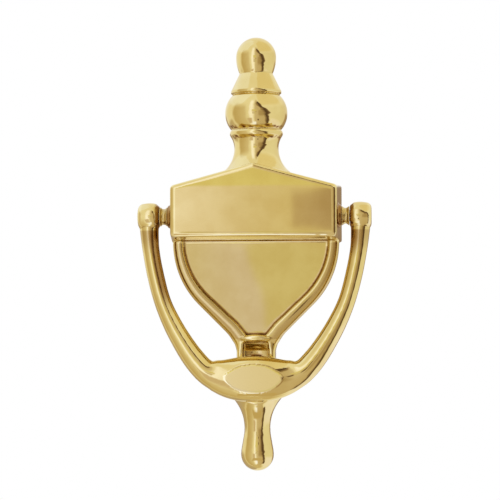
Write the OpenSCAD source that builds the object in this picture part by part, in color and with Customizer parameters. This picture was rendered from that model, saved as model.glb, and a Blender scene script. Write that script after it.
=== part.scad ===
// Urn-pattern door knocker: a hollow-back cast plate and the bail that swings from its lintel.
// Frame: +X right, +Z up, the front faces -Y and the door face is y = 0.
// The origin lies on the door face, midway between the two fixing holes. Sizes are in millimetres.

/* [Fixing to the door] */
// Distance between the two fixing holes
fixing_spacing = 76; // [72:1:84]
// Core diameter of the tapped fixing holes
fixing_core_d = 4.2; // [3.3:0.1:5]
// Depth of the upper fixing hole
fixing_upper_depth = 14; // [8:1:18]
// Depth of the lower fixing hole
fixing_lower_depth = 6.4; // [4:0.2:7]
// Diameter of the post that carries the upper fixing hole
fixing_post_d = 11; // [9:0.5:14]

/* [Lintel] */
// Width of the lintel at the door
lintel_w = 77; // [72:1:84]
// Height of the lintel's side walls
lintel_h = 26.9; // [25:0.1:29]
// Rise of the gable above the side walls
gable_h = 9.4; // [6:0.2:13]
// Distance the lintel stands out from the door
lintel_depth = 24; // [23:0.5:28]
// Narrowing of the lintel on each edge, from the door to the front
lintel_draft = 1.9; // [1:0.1:2.4]
// Lowering of the gable's top at the door, which hides it behind the front edge
roof_drop = 1.7; // [0.5:0.1:1.8]
// Radius of the lintel's front edges
lintel_edge_r = 1.8; // [1:0.1:2.6]
// Thickness of the walls round the lintel's hollow
lintel_wall = 3.2; // [2.6:0.1:4]
// Thickness of the lintel's square edge against the door
lintel_base_t = 0.5; // [0.3:0.1:1]
// Height of the upper fixing hole above the lintel's underside
lintel_hole_rise = 15; // [13.6:0.2:16.4]

/* [Bowl and neck] */
// Width of the bowl under the lintel
bowl_w = 74.6; // [70:0.2:76]
// Height of the bowl from the lintel to its foot
bowl_h = 41.4; // [38.4:0.2:44]
// Radius of the bowl's curved sides
bowl_r = 39.6; // [37:0.2:50]
// Width of the bowl's foot
foot_w = 24.6; // [22:0.2:28]
// Height of the taper from the foot to the neck
foot_h = 5.6; // [4.4:0.2:7]
// Width of the neck
neck_w = 17.4; // [15:0.2:19]
// Distance the raised rim stands out from the door
rim_d = 9.5; // [9:0.1:10.5]
// Width of the raised rim at the top of the bowl's panel
rim_w = 4.6; // [3.6:0.1:5]
// Width of the raised rim at the bowl's foot
rim_foot_w = 6.1; // [5.2:0.1:6.6]
// Width of the raised rim beside the bead
rim_bead_w = 6.8; // [6:0.1:7]
// Width of the rails down the neck
rail_w = 2.9; // [2.4:0.1:3.4]
// Share of the rim's width that its rounded outside takes
rim_round = 0.6; // [0.4:0.05:0.65]
// Depth of the rim's rounded outside
rim_round_t = 2; // [1.2:0.1:2.4]
// Radius of the rim's inner edge
rim_inner_r = 0.9; // [0.4:0.1:1]
// Depth of the sunk panel below the rim
panel_sink = 1.5; // [1.2:0.1:2]
// Thickness of the panel over the bowl's hollow
panel_t = 2.8; // [2.2:0.1:3.4]
// Thickness of the metal round the bowl's hollow
bowl_wall = 5.6; // [5:0.1:7]
// Height of the bottom of the bowl's hollow above the foot
bowl_hollow_rise = 8; // [6:0.5:12]
// Length of the bend at the foot, each way from its corner
foot_bend = 1; // [0.5:0.1:1.5]
// Length of the bend at the neck, each way from its corner
neck_bend = 1.5; // [0.5:0.1:2]
// Depth of the slot between the neck rails
slot_sink = 3.6; // [2.6:0.1:4.4]
// Distance from the foot down to the top of the slot
slot_fall = 3.6; // [3.6:0.1:4.2]
// Thickness of the lens-shaped bead across the foot of the panel
bead_d = 3.6; // [3:0.1:3.8]
// Length of the bead
bead_len = 17.6; // [16:0.2:18]
// Distance of the bead's middle behind the front of the rim
bead_set = 0.7; // [0.4:0.1:0.9]
// Distance from the foot down to the middle of the bead
bead_fall = 1.6; // [1.2:0.1:1.6]

/* [Finial] */
// Diameter of the ball at the top
ball_d = 18.3; // [16:0.1:20]
// Height of the ball's widest line above the gable's peak
ball_rise = 47.6; // [46:0.2:50]
// Diameter where the ball meets the cone
ball_neck_d = 15.2; // [13:0.1:15.6]
// Height of the line where the ball meets the cone above the gable's peak
ball_neck_rise = 40.2; // [39:0.2:41]
// Height of the cone under the ball, with its skirt
cone_h = 9.2; // [8:0.2:9.6]
// Diameter of the cone's skirt
skirt_d = 23; // [21:0.1:24]
// Height of the skirt's lip
skirt_lip = 1.2; // [0.6:0.1:1.8]
// Diameter of the bulb
bulb_d = 28.4; // [26.5:0.1:31]
// Height of the bulb's widest line above the gable's peak
bulb_rise = 22.2; // [21.4:0.2:23.2]
// Radius of the bulb's rounded side
bulb_side_r = 11.5; // [10.5:0.1:12.5]
// Diameter of the ring under the bulb
ring_d = 24.2; // [23:0.1:26]
// Height of the ring's middle above the gable's peak
ring_rise = 12.9; // [12.2:0.1:13.5]
// Thickness of the ring
ring_t = 4.2; // [3.4:0.1:5]
// Smallest diameter of the stem
stem_d = 20.2; // [18:0.1:22]
// Height of the stem's smallest diameter above the gable's peak
stem_rise = 6.4; // [5.8:0.1:7]
// Radius of the stem's hollow curve down to the gable
stem_curve_r = 13.7; // [12:0.1:16]
// Diameter of the stem's flare on the gable
flare_d = 30.8; // [29:0.2:32]
// Diameter of the hollow up the back of the finial
finial_core_d = 10; // [7:0.5:12]
// Diameter of the hollow behind the bulb
bulb_core_d = 18; // [12:0.5:20]

/* [Boss and drop] */
// Diameter of the boss behind the hammer
boss_d = 26.4; // [25:0.2:28]
// Distance from the lower fixing hole down to the boss's middle
boss_fall = 3; // [2:0.2:4]
// Radius of the boss's front edge
boss_edge_r = 1.2; // [0.6:0.1:1.6]
// Distance the boss stands out from the door
boss_depth = 9.5; // [9.2:0.1:10]
// Diameter of the ball at the bottom
drop_ball_d = 14.8; // [12:0.2:16.4]
// Distance from the lower fixing hole down to the drop ball's widest line
drop_ball_fall = 34.6; // [32:0.1:36]
// Radius of the drop ball's upper side
drop_side_r = 14.6; // [13:0.2:18]
// Smallest diameter of the drop's stem
drop_stem_d = 11.7; // [10:0.1:13]
// Distance from the lower fixing hole down to the stem's smallest diameter
drop_stem_fall = 22.8; // [22:0.2:24]
// Radius of the stem's hollow curve
drop_curve_r = 20; // [18:0.2:24]
// Diameter of the flare at the top of the drop
drop_flare_d = 25; // [23:0.2:27]
// Radius of the flare's edge
drop_flare_r = 1.2; // [0.8:0.1:1.6]

/* [Bail] */
// Height of the pivot line above the lintel's underside
pivot_rise = 11.2; // [10.6:0.2:13.6]
// Distance of the pivot line from the door
pivot_d = 15; // [13.5:0.1:15.5]
// Diameter of the ears
ear_d = 12.4; // [11.6:0.1:13.6]
// Length of each ear along the pivot line
ear_len = 9.5; // [8.6:0.1:11]
// Radius of the ears' outer edges
ear_edge_r = 2.4; // [1.2:0.1:3]
// Chamfer of the ears' inner edges
ear_chamfer = 1.7; // [0.8:0.1:2]
// Thickness of the arms inside the ears
arm_root_d = 9; // [8:0.1:10]
// Thickness of the arms below the ears
arm_d = 7.5; // [6.6:0.1:8.2]
// Width of the arms where they turn in, seen from the front
arm_turn_w = 9.2; // [8:0.1:10]
// Depth of the arms where they turn in
arm_turn_t = 8.6; // [7.6:0.1:9.4]
// Width of the arms at the hammer's shoulders
shoulder_w = 10.8; // [9.6:0.1:11.6]
// Depth of the arms at the hammer's shoulders
shoulder_t = 9.6; // [9:0.1:10.4]
// Height of the hammer where it runs into its shoulders
hammer_root_h = 14; // [13.4:0.1:14.8]
// Depth of the hammer where it runs into its shoulders
hammer_root_t = 9.8; // [9.4:0.1:10.2]
// Height of the hammer at the ends of its flat
hammer_end_h = 17.2; // [16.2:0.1:18.2]
// Depth of the hammer at the ends of its flat, with a full round front
hammer_end_t = 11.1; // [10.9:0.1:11.8]
// Height of the hammer halfway along its flat
hammer_half_h = 19.4; // [18.4:0.1:20.4]
// Depth of the hammer halfway along its flat, with a full round front
hammer_half_t = 13.2; // [12.6:0.1:14]
// Height of the hammer at its middle
hammer_h = 19.9; // [18:0.1:22]
// Depth of the hammer at its middle, with a full round front
hammer_t = 14; // [13:0.1:15]
// Height of the hammer's middle above the lower fixing hole
hammer_rise = 0.6; // [0:0.1:1.2]
// Distance of the ground oval flat from the bail's middle plane
flat_d = 5.4; // [4.8:0.1:6]

/* [Pivots] */
// Diameter of the pivot pins
pin_d = 5; // [4:0.1:5.4]
// Diameter of the pin heads
pin_head_d = 8.4; // [7.4:0.1:9.4]
// Thickness of the pin heads
pin_head_t = 2; // [1.4:0.1:2.6]
// Depth the pins reach into the ears
pin_reach = 7; // [6:0.1:7.4]
// Chamfer of the pins' tips
pin_tip = 0.5; // [0.2:0.1:0.8]
// Diameter of the thrust washers
washer_d = 9.6; // [8.6:0.1:11]
// Thickness of the thrust washers
washer_t = 0.8; // [0.5:0.1:1.2]
// Length of the collars between the lintel and the ears
collar_len = 3.5; // [3:0.1:5]
// Diameter of the collars' ends
collar_d = 8.4; // [7.8:0.1:9]
// Diameter of the collars' waists
collar_waist_d = 7; // [6.7:0.1:7.6]
// Length of the plain band at each end of a collar
collar_band = 0.5; // [0.3:0.1:0.8]
// Diameter of the seats on the lintel's sides
seat_d = 10; // [9.2:0.1:11]
// Diameter of the grub screws
grub_d = 4; // [3:0.1:4.6]
// Length of the grub screws
grub_len = 3.1; // [2.6:0.1:3.2]
// Width across the flats of the grub screws' sockets
grub_socket = 2; // [1.3:0.1:2.2]
// Depth of the grub screws' sockets
grub_socket_depth = 1.6; // [1:0.1:2]

/* [Strike] */
// Diameter of the strike pad
pad_d = 13; // [11:0.2:14]
// Height of the strike pad in front of the boss
pad_h = 2; // [1.6:0.1:2.4]
// Height of the strike pad's edge
pad_edge_h = 0.7; // [0.4:0.1:1]
// Diameter of the strike pad's spigot
pad_spigot_d = 8; // [6:0.2:9]
// Depth of the strike pad's spigot
pad_spigot_h = 1.2; // [0.8:0.1:1.4]
// Diameter of the hammer button
button_d = 8.6; // [7.6:0.1:9.4]
// Height of the hammer button on its seat
button_h = 2; // [1.7:0.1:2.4]
// Height of the hammer button's edge
button_edge_h = 0.8; // [0.4:0.1:1.2]
// Depth of the hammer button's seat in the back of the hammer
button_seat_depth = 0.8; // [0.8:0.1:1.2]
// Width of the seat's floor round the button
button_margin = 0.5; // [0.3:0.1:0.8]
// Diameter of the hammer button's shank
button_shank_d = 5; // [4:0.1:6]
// Length of the hammer button's shank
button_shank_l = 4; // [3:0.2:5]

/* [Clearances] */
// Gap all round a turning pin
running_gap = 0.05; // [0.03:0.01:0.1]
// Gap all round a fixed pin, screw or spigot
seat_gap = 0.02; // [0.01:0.01:0.05]
// Gap at each end of the bail, along the pivot line
end_gap = 0.15; // [0.1:0.01:0.3]
// Gap between the hammer button and the strike pad at rest
rest_gap = 0.3; // [0.2:0.05:0.5]

/* [Hidden] */
$fn = 72;
over = 1;

hole_z = fixing_spacing / 2;
lintel_z = hole_z - lintel_hole_rise;
eave_z = lintel_z + lintel_h;
peak_z = eave_z + gable_h;
hollow_w = lintel_w - 2 * (lintel_draft + lintel_wall);
hollow_d = lintel_depth - lintel_wall;
post_top = hollow_d + over / 2;

foot_z = lintel_z - bowl_h;
neck_z = foot_z - foot_h;
panel_d = rim_d - panel_sink;
drop_stem_z = -hole_z - drop_stem_fall;
drop_flare_z = drop_stem_z
    + sqrt(pow(drop_curve_r, 2) - pow(drop_stem_d / 2 + drop_curve_r - drop_flare_d / 2, 2));

pivot_z = lintel_z + pivot_rise;
seat_x = lintel_w / 2;
ear_x = seat_x + collar_len + end_gap;
arm_x = ear_x + ear_len / 2;
button_seat = hammer_t / 2 - button_seat_depth;
button_reach = button_seat + button_h;
bail_l = pivot_z + hole_z - hammer_rise;
lean = asin((boss_depth + pad_h + rest_gap + button_reach - pivot_d) / bail_l);

// Control points of the bail's right half, from the ear to the middle of the hammer.
// Each is [share of the half span, share of the length, half thickness, half depth].
BAIL = [[1, 0, arm_root_d / 2, arm_root_d / 2],
    [0.995, 0.099, (arm_root_d + arm_d) / 4, (arm_root_d + arm_d) / 4],
    [0.978, 0.211, arm_d / 2, arm_d / 2],
    [0.933, 0.365, arm_d / 2, arm_d / 2],
    [0.865, 0.525, arm_d / 2, arm_d / 2],
    [0.771, 0.663, (arm_d + arm_turn_w) / 4, (arm_d + arm_turn_t) / 4],
    [0.665, 0.783, arm_turn_w / 2, arm_turn_t / 2],
    [0.564, 0.878, (arm_turn_w + shoulder_w) / 4, (arm_turn_t + shoulder_t) / 4],
    [0.46, 0.95, shoulder_w / 2, shoulder_t / 2],
    [0.358, 0.978, hammer_root_h / 2, hammer_root_t / 2],
    [0.245, 0.994, hammer_end_h / 2, hammer_end_t / 2],
    [0.125, 1, hammer_half_h / 2, hammer_half_t / 2],
    [0, 1, hammer_h / 2, hammer_t / 2]];
BAIL_STEPS = 3;
BAIL_SIDES = 20;
ARC_STEPS = 12;
TURN_STEPS = 9;
EDGE_STEPS = 4;
// The turned balls end in small flats, this many degrees from their widest line.
TIP_A = 86;
// The drop's flare turns over at this angle.
EDGE_A = 15;
// Points of an outline closer than this are one point.
SAME = 0.01;

function mid_curve(a, b, c, d, t) = 0.5 * (2 * b + (c - a) * t + (2 * a - 5 * b + 4 * c - d) * t * t
    + (3 * b - a - 3 * c + d) * t * t * t);
function mid_slope(a, b, c, d, t) = 0.5 * ((c - a) + 2 * (2 * a - 5 * b + 4 * c - d) * t
    + 3 * (3 * b - a - 3 * c + d) * t * t);
function flip(p) = [-p[0], p[1], p[2], p[3]];
function unit(v) = v / norm(v);
function arc(c, r, from, to, n) = [for (k = [0:n]) c + r * [cos(from + (to - from) * k / n),
    sin(from + (to - from) * k / n)]];
function distinct(points) = [for (i = [0:len(points) - 1])
    if (i == 0 || norm(points[i] - points[max(i - 1, 0)]) > SAME) points[i]];
function bearing(from, to) = atan2(to[1] - from[1], to[0] - from[0]);

// The two points where a circle round c crosses one round d.
function crossings(c, r, d, s) =
    let (l = norm(d - c))
    let (u = (d - c) / l)
    let (a = (l * l + r * r - s * s) / (2 * l))
    let (h = sqrt(r * r - a * a))
    [c + a * u - h * [-u[1], u[0]], c + a * u + h * [-u[1], u[0]]];

// Right edge of the bowl and neck, from the lintel down to the boss: [x, z, width of the rim there].
// The side leaves the lintel straight down and its arc runs out into a straight line to the foot.
// An arc too large for that runs all the way from the lintel to the foot.
function bowl_edge() =
    let (top = [bowl_w / 2, lintel_z])
    let (foot = [foot_w / 2, foot_z])
    let (neck = [neck_w / 2, neck_z])
    let (level = top - [bowl_r, 0])
    let (reach = norm(foot - level))
    let (c = reach > bowl_r ? level : crossings(top, bowl_r, foot, bowl_r)[0])
    let (end_a = bearing(c, foot) + acos(min(1, bowl_r / reach)))
    let (down = [sin(end_a), -cos(end_a)])
    let (taper = unit(neck - foot))
    let (widening = (rim_foot_w - rim_w) / bowl_h)
    let (side = [for (p = arc(c, bowl_r, bearing(c, top), end_a, ARC_STEPS))
        if (norm(p - foot) > 2 * foot_bend) [p[0], p[1], rim_w + widening * (lintel_z - p[1])]])
    concat([[top[0], top[1] + over * 2, rim_w]], side,
        [[foot[0] - down[0] * foot_bend, foot[1] - down[1] * foot_bend, rim_foot_w]],
        [[foot[0] + taper[0] * foot_bend, foot[1] + taper[1] * foot_bend, rim_foot_w]],
        [[neck[0] - taper[0] * neck_bend, neck[1] - taper[1] * neck_bend, rim_bead_w]],
        [[neck[0], neck[1] - neck_bend, rail_w]],
        [[neck[0], -hole_z, rail_w]]);

// Edge point i moved inwards by inset, measured square to the edge.
function moved_in(e, i, inset) =
    let (n = len(e))
    let (p = [e[i][0], e[i][1]])
    let (a = i == 0 ? p + [0, 1] : [e[i - 1][0], e[i - 1][1]])
    let (b = i == n - 1 ? p - [0, 1] : [e[i + 1][0], e[i + 1][1]])
    let (u = unit(p - a))
    let (v = unit(b - p))
    let (m = [u[1] + v[1], -u[0] - v[0]])
    p + m * inset / (1 + u * v);

// Solid between levels of the bowl's outline. A level is [inset, share of the rim's width, distance].
module bowl_loft(levels) {
    e = bowl_edge();
    n = len(e);
    m = len(levels);
    right = [for (l = levels) [for (i = [0:n - 1]) moved_in(e, i, l[0] + l[1] * e[i][2])]];
    points = [for (j = [0:m - 1]) for (s = [1, -1]) for (i = [0:n - 1])
        [s * right[j][i][0], -levels[j][2], right[j][i][1]]];
    r = [for (j = [0:m - 1]) j * 2 * n];
    l = [for (j = [0:m - 1]) j * 2 * n + n];
    walls = [for (j = [0:m - 2]) for (i = [0:n - 2]) each [
        [r[j + 1] + i, r[j] + i, r[j] + i + 1, r[j + 1] + i + 1],
        [l[j] + i, l[j + 1] + i, l[j + 1] + i + 1, l[j] + i + 1]]];
    caps = [for (i = [0:n - 2]) each [
        [l[m - 1] + i, r[m - 1] + i, r[m - 1] + i + 1, l[m - 1] + i + 1],
        [r[0] + i, l[0] + i, l[0] + i + 1, r[0] + i + 1]]];
    ends = [for (j = [0:m - 2]) each [
        [l[j], r[j], r[j + 1], l[j + 1]],
        [r[j] + n - 1, l[j] + n - 1, l[j + 1] + n - 1, r[j + 1] + n - 1]]];
    polyhedron(points = points, faces = concat(walls, caps, ends), convexity = 6);
}

// Extrudes an outline drawn in X and Z forwards, from one distance in front of the door to another.
module forwards(from, to) {
    translate([0, -from, 0])
        rotate([90, 0, 0])
            linear_extrude(height = to - from)
                children();
}

// Front half of a profile turned about the Z axis.
module half_turned() {
    rotate([0, 0, 180])
        rotate_extrude(angle = 180)
            children();
}

// Cylinder along X.
module along_x(r, from, to) {
    translate([from, -pivot_d, pivot_z])
        rotate([0, 90, 0])
            cylinder(r = r, h = to - from);
}

// Turns a profile of radius and length about the pivot line, starting at a distance from the middle.
module on_pivot(from) {
    translate([from, -pivot_d, pivot_z])
        rotate([0, 90, 0])
            rotate_extrude()
                children();
}

module on_left() {
    mirror([1, 0, 0])
        children();
}

module gable_outline(inset) {
    w = lintel_w / 2 - inset;
    polygon([[-w, lintel_z + inset], [w, lintel_z + inset], [w, eave_z - inset], [0, peak_z - inset],
        [-w, eave_z - inset]]);
}

module lintel() {
    in = lintel_draft + lintel_edge_r;
    w = lintel_w / 2 - in;
    corners = [[-w, lintel_z + in], [w, lintel_z + in], [w, eave_z - in], [0, peak_z - in],
        [-w, eave_z - in]];
    side = lintel_w / 2;
    foot = [[-side, lintel_z], [side, lintel_z], [side, eave_z - roof_drop], [0, peak_z - roof_drop],
        [-side, eave_z - roof_drop]];
    hull() {
        forwards(0, lintel_base_t)
            polygon(foot);
        for (c = corners)
            translate([c[0], lintel_edge_r - lintel_depth, c[1]])
                sphere(r = lintel_edge_r, $fn = 20);
    }
}

// Half section of the finial: stem, ring, bulb, skirt, cone and ball, from the lintel up.
module finial_profile() {
    stem_c = [stem_d / 2 + stem_curve_r, peak_z + stem_rise];
    ring_r = ring_t / 2;
    ring_c = [ring_d / 2 - ring_r, peak_z + ring_rise];
    top_r = (pow(ring_d / 2 - stem_d / 2, 2) + pow(ring_rise - stem_rise, 2)) / (ring_d - stem_d) - ring_r;
    top_c = [stem_d / 2 + top_r, peak_z + stem_rise];
    bulb_c = [bulb_d / 2 - bulb_side_r, peak_z + bulb_rise];
    ball_r = ball_d / 2;
    ball_c = [0, peak_z + ball_rise];
    neck = [ball_neck_d / 2, peak_z + ball_neck_rise];
    skirt = [skirt_d / 2, neck[1] - cone_h];
    side_r = (pow(ball_c[1] - neck[1], 2) + pow(ball_r - neck[0], 2)) / (ball_d - ball_neck_d);
    side_c = [ball_r - side_r, ball_c[1]];
    over_ring = crossings(ring_c, ring_r, bulb_c, bulb_side_r)[0];
    flare_a = 180 + acos((stem_c[0] - flare_d / 2) / stem_curve_r);
    skirt_a = asin((skirt[1] - bulb_c[1]) / bulb_side_r);
    polygon(distinct(concat(
        [[0, eave_z], [flare_d / 2, eave_z]],
        arc(stem_c, stem_curve_r, flare_a, 180, TURN_STEPS),
        arc(top_c, top_r, 180, bearing(top_c, ring_c), TURN_STEPS),
        arc(ring_c, ring_r, bearing(ring_c, top_c), bearing(ring_c, over_ring), TURN_STEPS),
        arc(bulb_c, bulb_side_r, bearing(bulb_c, over_ring), skirt_a, TURN_STEPS),
        [skirt, skirt + [0, skirt_lip]],
        arc(side_c, side_r, bearing(side_c, neck), 0, TURN_STEPS),
        arc(ball_c, ball_r, 0, TIP_A, TURN_STEPS),
        [[0, ball_c[1] + ball_r * sin(TIP_A)]])));
}

// Half section of the drop: ball, stem and flare, from the tip up.
module drop_profile() {
    ball_r = drop_ball_d / 2;
    ball_c = [0, -hole_z - drop_ball_fall];
    side_c = [ball_r - drop_side_r, ball_c[1]];
    stem_c = [drop_stem_d / 2 + drop_curve_r, drop_stem_z];
    flare = [drop_flare_d / 2, drop_flare_z];
    edge_c = flare - [drop_flare_r, 0];
    across = stem_c - side_c;
    join_a = bearing(side_c, stem_c) - acos(min(1, (drop_side_r + drop_curve_r) / norm(across)));
    polygon(distinct(concat(
        [[0, ball_c[1] - ball_r * sin(TIP_A)]],
        arc(ball_c, ball_r, -TIP_A, 0, TURN_STEPS),
        arc(side_c, drop_side_r, 0, join_a, EDGE_STEPS),
        arc(stem_c, drop_curve_r, 180 + join_a, bearing(stem_c, flare), TURN_STEPS),
        arc(edge_c, drop_flare_r, EDGE_A, 90, EDGE_STEPS),
        [[0, drop_flare_z + drop_flare_r]])));
}

module drop() {
    intersection() {
        half_turned()
            drop_profile();
        translate([-drop_flare_d, -boss_depth, -hole_z - drop_ball_fall - drop_ball_d])
            cube([2 * drop_flare_d, boss_depth + over, drop_ball_fall + drop_ball_d]);
    }
}

module boss() {
    r = boss_d / 2;
    intersection() {
        translate([0, 0, -hole_z - boss_fall])
            rotate([90, 0, 0])
                rotate_extrude()
                    union() {
                        square([r, boss_depth - boss_edge_r]);
                        square([r - boss_edge_r, boss_depth]);
                        translate([r - boss_edge_r, boss_depth - boss_edge_r])
                            circle(r = boss_edge_r);
                    }
        translate([-boss_d, -2 * boss_depth, drop_flare_z + drop_flare_r / 2])
            cube([2 * boss_d, 3 * boss_depth, 2 * boss_d]);
    }
}

module bowl_outside() {
    edge = [for (a = [0:22.5:90]) [0, rim_round * (1 - cos(a)), rim_d - rim_round_t * (1 - sin(a))]];
    bowl_loft(concat([[0, 0, 0]], edge));
}

module bowl_panel() {
    r = rim_inner_r;
    edge = [for (a = [0:30:90]) [-r * (1 - cos(a)), 1, rim_d - r * (1 - sin(a))]];
    bowl_loft(concat([[0, 1, panel_d]], edge, [[-r, 1, rim_d + over]]));
}

module neck_slot() {
    w = neck_w - 2 * rail_w;
    forwards(rim_d - slot_sink, rim_d + over)
        translate([-w / 2, -hole_z])
            square([w, foot_z - slot_fall + hole_z]);
}

// The bead is a lens turned about X; its ends lie inside the rim.
module bowl_bead() {
    rise = bead_d / 2;
    reach = bead_len / 2;
    r = (reach * reach + rise * rise) / (2 * rise);
    half_a = asin(reach / r);
    translate([0, bead_set - rim_d, foot_z - bead_fall])
        rotate([0, 90, 0])
            rotate_extrude()
                polygon([for (p = arc([rise - r, 0], r, -half_a, half_a, ARC_STEPS)) [max(p[0], 0), p[1]]]);
}

module bowl_hollow() {
    e = bowl_edge();
    side = [for (i = [0:len(e) - 1]) moved_in(e, i, bowl_wall)];
    right = [for (p = side) if (p[1] > foot_z) p];
    forwards(-over, panel_d - panel_t)
        intersection() {
            polygon(concat(right, [for (i = [len(right) - 1:-1:0]) [-right[i][0], right[i][1]]]));
            translate([-bowl_w / 2, foot_z + bowl_hollow_rise])
                square([bowl_w, bowl_h - bowl_hollow_rise]);
        }
}

module lintel_hollow() {
    forwards(-over, hollow_d)
        gable_outline(lintel_draft + lintel_wall);
}

module finial_hollow() {
    translate([0, 0, peak_z])
        cylinder(d = finial_core_d, h = ball_rise);
    translate([0, 0, peak_z + ball_rise])
        rotate([90, 0, 0])
            sphere(d = finial_core_d);
    translate([0, 0, peak_z + bulb_rise])
        rotate([90, 0, 0])
            sphere(d = bulb_core_d);
}

module fixing_hole(z, depth) {
    translate([0, over, z])
        rotate([90, 0, 0])
            cylinder(d = fixing_core_d, h = depth + over);
}

module urn_plate() {
    color([0.80, 0.65, 0.30])
    difference() {
        union() {
            difference() {
                union() {
                    lintel();
                    half_turned()
                        finial_profile();
                    difference() {
                        bowl_outside();
                        bowl_panel();
                    }
                    along_x(seat_d / 2, -seat_x, seat_x);
                }
                lintel_hollow();
                bowl_hollow();
                finial_hollow();
                neck_slot();
            }
            drop();
            boss();
            bowl_bead();
            translate([0, 0, hole_z])
                rotate([90, 0, 0])
                    cylinder(d = fixing_post_d, h = post_top);
        }
        fixing_hole(hole_z, fixing_upper_depth);
        fixing_hole(-hole_z, fixing_lower_depth);
        along_x(pin_d / 2 + running_gap, hollow_w / 2 - over, seat_x + over);
        along_x(pin_d / 2 + running_gap, -seat_x - over, over - hollow_w / 2);
        translate([0, pad_spigot_h - boss_depth, -hole_z])
            rotate([90, 0, 0])
                cylinder(d = pad_spigot_d + 2 * seat_gap, h = pad_spigot_h + over);
    }
}

// Half section of a domed disc on a spigot, with the disc's underside at zero.
module domed_disc(d, h, edge_h, spigot_d, spigot_h) {
    r = d / 2;
    rise = h - edge_h;
    dome = (r * r + rise * rise) / (2 * rise);
    translate([0, -spigot_h])
        square([spigot_d / 2, spigot_h]);
    square([r, edge_h]);
    intersection() {
        translate([0, h - dome])
            circle(r = dome);
        square([r, h]);
    }
}

module strike_pad() {
    color([0.72, 0.57, 0.26])
    translate([0, -boss_depth, -hole_z])
        rotate([90, 0, 0])
            rotate_extrude()
                domed_disc(pad_d, pad_h, pad_edge_h, pad_spigot_d, pad_spigot_h);
}

module collar() {
    waist = (collar_d - collar_waist_d) / 2;
    curve = (pow(collar_len / 2 - collar_band, 2) + waist * waist) / (2 * waist);
    bore = pin_d / 2 + running_gap;
    color([0.76, 0.60, 0.27])
    on_pivot(seat_x)
        difference() {
            translate([bore, 0])
                square([collar_d / 2 - bore, collar_len]);
            translate([collar_waist_d / 2 + curve, collar_len / 2])
                circle(r = curve);
        }
}

module right_collar() {
    collar();
}

module left_collar() {
    on_left()
        collar();
}

module bail_sweep() {
    right = [for (p = BAIL) [p[0] * arm_x, -p[1] * bail_l, p[2], p[3]]];
    n = len(right);
    line = concat(right, [for (i = [n - 2:-1:0]) flip(right[i])]);
    c = concat([2 * line[0] - line[1]], line, [2 * line[2 * n - 2] - line[2 * n - 3]]);
    spots = [for (i = [1:2 * n - 2]) for (k = [0:BAIL_STEPS - 1]) [i, k / BAIL_STEPS]];
    last = [[2 * n - 2, 1]];
    rings = [for (s = concat(spots, last))
        let (p = mid_curve(c[s[0] - 1], c[s[0]], c[s[0] + 1], c[s[0] + 2], s[1]))
        let (d = mid_slope(c[s[0] - 1], c[s[0]], c[s[0] + 1], c[s[0] + 2], s[1]))
        let (u = unit([d[0], d[1]]))
        [for (a = [0:BAIL_SIDES - 1])
            let (h = p[2] * cos(360 * a / BAIL_SIDES))
            [p[0] - u[1] * h, p[3] * sin(360 * a / BAIL_SIDES), p[1] + u[0] * h]]];
    m = len(rings);
    walls = [for (k = [0:m - 2]) for (a = [0:BAIL_SIDES - 1])
        let (b = (a + 1) % BAIL_SIDES)
        [(k + 1) * BAIL_SIDES + b, (k + 1) * BAIL_SIDES + a, k * BAIL_SIDES + a, k * BAIL_SIDES + b]];
    caps = [[for (a = [BAIL_SIDES - 1:-1:0]) a], [for (a = [0:BAIL_SIDES - 1]) (m - 1) * BAIL_SIDES + a]];
    polyhedron(points = [for (r = rings) each r], faces = concat(walls, caps), convexity = 8);
}

// Carries a piece drawn about the bail's own plane to its place on the pivot line.
module in_bail() {
    translate([0, -pivot_d, pivot_z])
        rotate([-lean, 0, 0])
            children();
}

module ear() {
    r = ear_d / 2;
    on_pivot(ear_x)
        difference() {
            union() {
                square([r, ear_len - ear_edge_r]);
                square([r - ear_edge_r, ear_len]);
                translate([r - ear_edge_r, ear_len - ear_edge_r])
                    intersection() {
                        circle(r = ear_edge_r);
                        square(ear_edge_r);
                    }
            }
            polygon([[r - ear_chamfer, 0], [r - ear_chamfer, -over], [r + over, -over],
                [r + over, ear_chamfer], [r, ear_chamfer]]);
        }
}

module ear_cuts() {
    along_x(pin_d / 2 + seat_gap, ear_x - over, ear_x + pin_reach);
    translate([ear_x + pin_reach / 2, -pivot_d, pivot_z])
        rotate([-90, 0, 0])
            cylinder(d = grub_d + 2 * seat_gap, h = ear_d);
}

module knocker_bail() {
    color([0.83, 0.68, 0.33])
    difference() {
        union() {
            in_bail()
                difference() {
                    bail_sweep();
                    translate([-arm_x, -flat_d - hammer_t, -bail_l - hammer_h])
                        cube([2 * arm_x, hammer_t, bail_l + hammer_h - ear_d]);
                }
            ear();
            on_left()
                ear();
        }
        ear_cuts();
        on_left()
            ear_cuts();
        in_bail()
            translate([0, 0, -bail_l])
                rotate([-90, 0, 0]) {
                    translate([0, 0, button_seat])
                        cylinder(d = button_d + 2 * button_margin, h = hammer_t);
                    translate([0, 0, button_seat - button_shank_l - seat_gap])
                        cylinder(d = button_shank_d + 2 * seat_gap, h = button_shank_l + over);
                }
    }
}

module hammer_button() {
    color([0.70, 0.55, 0.25])
    in_bail()
        translate([0, button_seat, -bail_l])
            rotate([-90, 0, 0])
                rotate_extrude()
                    domed_disc(button_d, button_h, button_edge_h, button_shank_d, button_shank_l);
}

module pivot_pin() {
    head_x = hollow_w / 2 - end_gap - washer_t;
    shank_l = ear_x + pin_reach - seat_gap - head_x;
    r = pin_d / 2;
    color([0.62, 0.62, 0.64])
    on_pivot(head_x - pin_head_t)
        union() {
            square([pin_head_d / 2, pin_head_t]);
            translate([0, pin_head_t])
                polygon([[0, 0], [r, 0], [r, shank_l - pin_tip], [r - pin_tip, shank_l], [0, shank_l]]);
        }
}

module right_pivot_pin() {
    pivot_pin();
}

module left_pivot_pin() {
    on_left()
        pivot_pin();
}

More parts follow.
